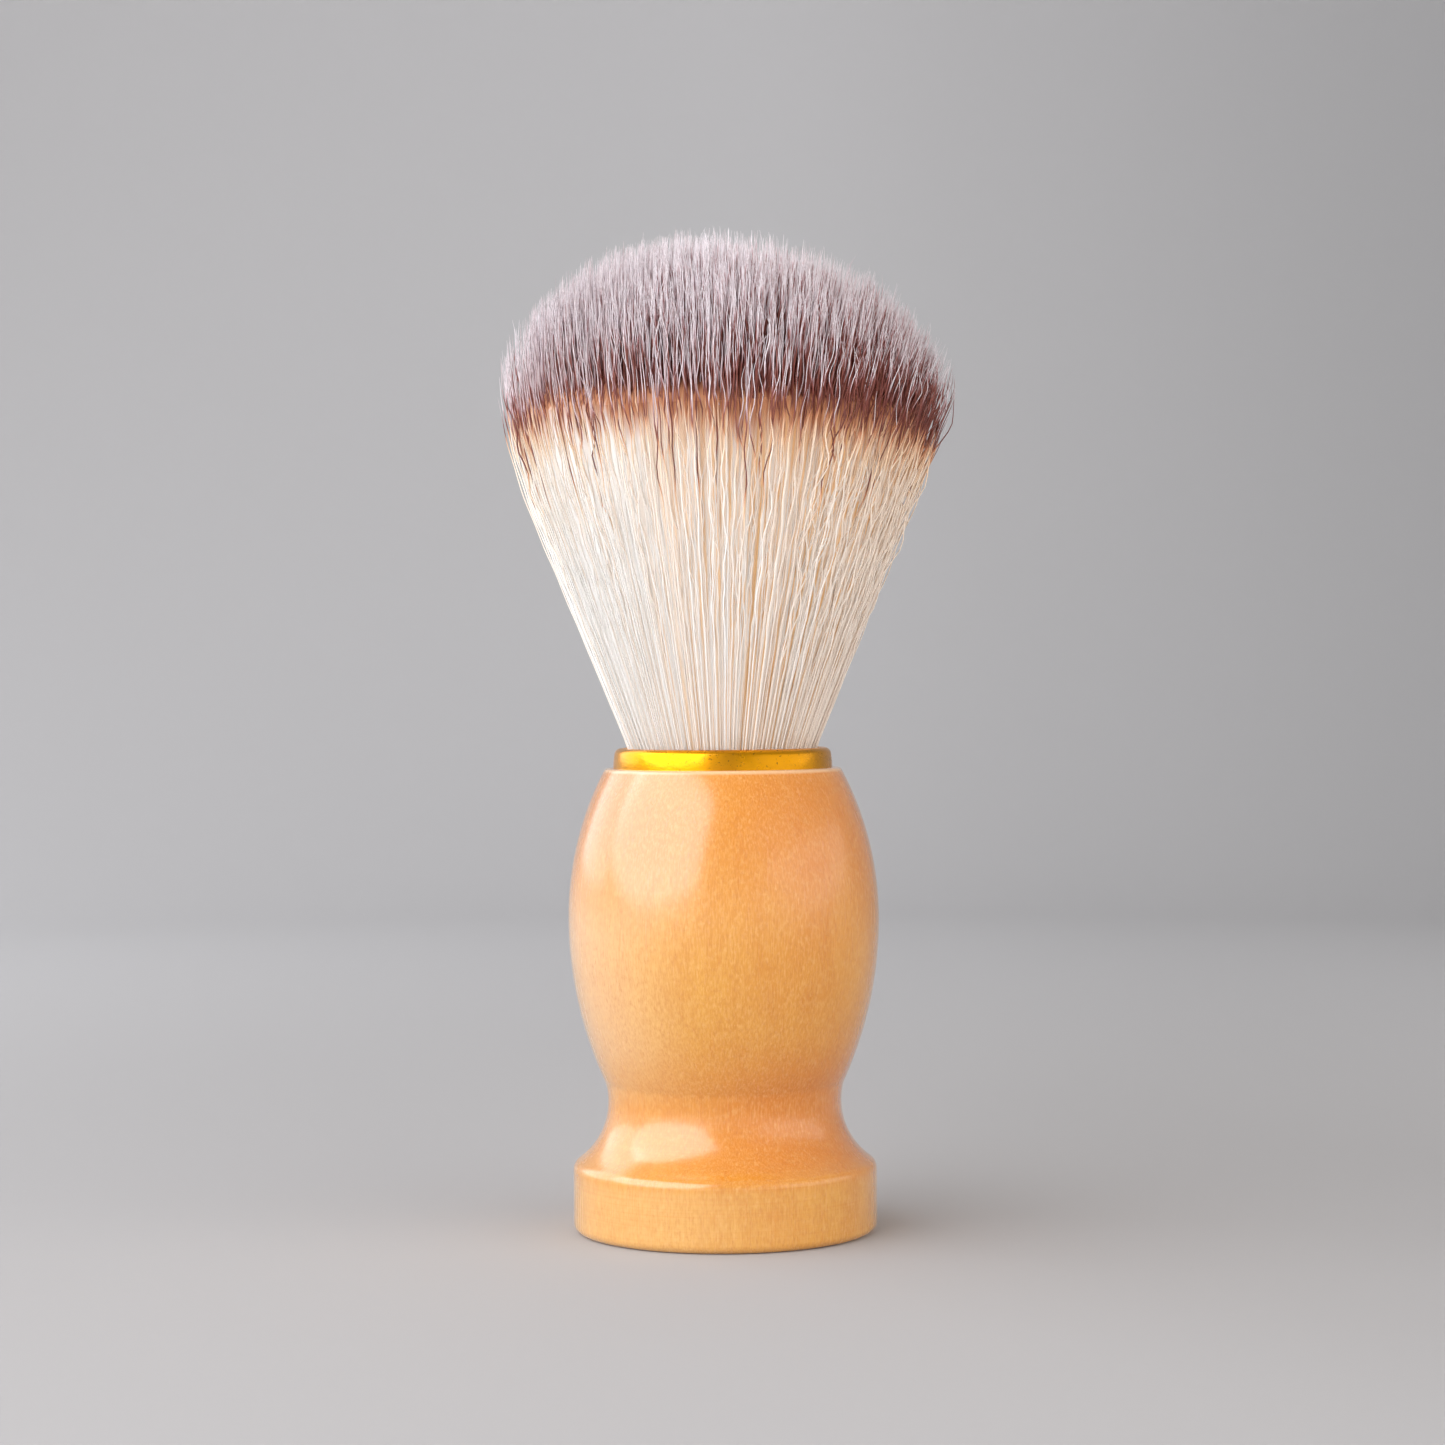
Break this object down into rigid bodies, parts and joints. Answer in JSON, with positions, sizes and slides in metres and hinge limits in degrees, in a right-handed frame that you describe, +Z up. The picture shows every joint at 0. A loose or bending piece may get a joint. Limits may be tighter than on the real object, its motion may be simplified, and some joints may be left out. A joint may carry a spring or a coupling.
{
  "type": "shaving brush",
  "caption": "Wet-shaving brush: a turned wooden handle with a flared foot, a gold-coloured collar and a domed fan of two-tone fibres; it stands on its flat base.",
  "frame": {"origin": "centre of the flat base that the brush stands on", "axes": "+Z up along the handle's turning axis, towards the fibre tips; -Y is the side that the picture shows"},
  "size_m": [0.0472, 0.0472, 0.105],
  "materials": {
    "lacquered_wood": "clear gloss lacquer over pale turned wood",
    "gold_metal": "gold anodised, polished, lightly scuffed",
    "cup_plastic": "moulded",
    "cast_resin": "cast, amber",
    "adhesive": "cured adhesive",
    "fibre": "fine fibres, cream with tan and dark brown bands and pale tips"
  },
  "bodies": {
    "root": {"handle": "lacquered_wood", "collar": "gold_metal", "knot_cup": "cup_plastic", "root_resin": "cast_resin", "glue_bed": "adhesive", "bristles_front_right": "fibre", "bristles_front_left": "fibre", "bristles_back_left": "fibre", "bristles_back_right": "fibre"}
  },
  "joints": []
}
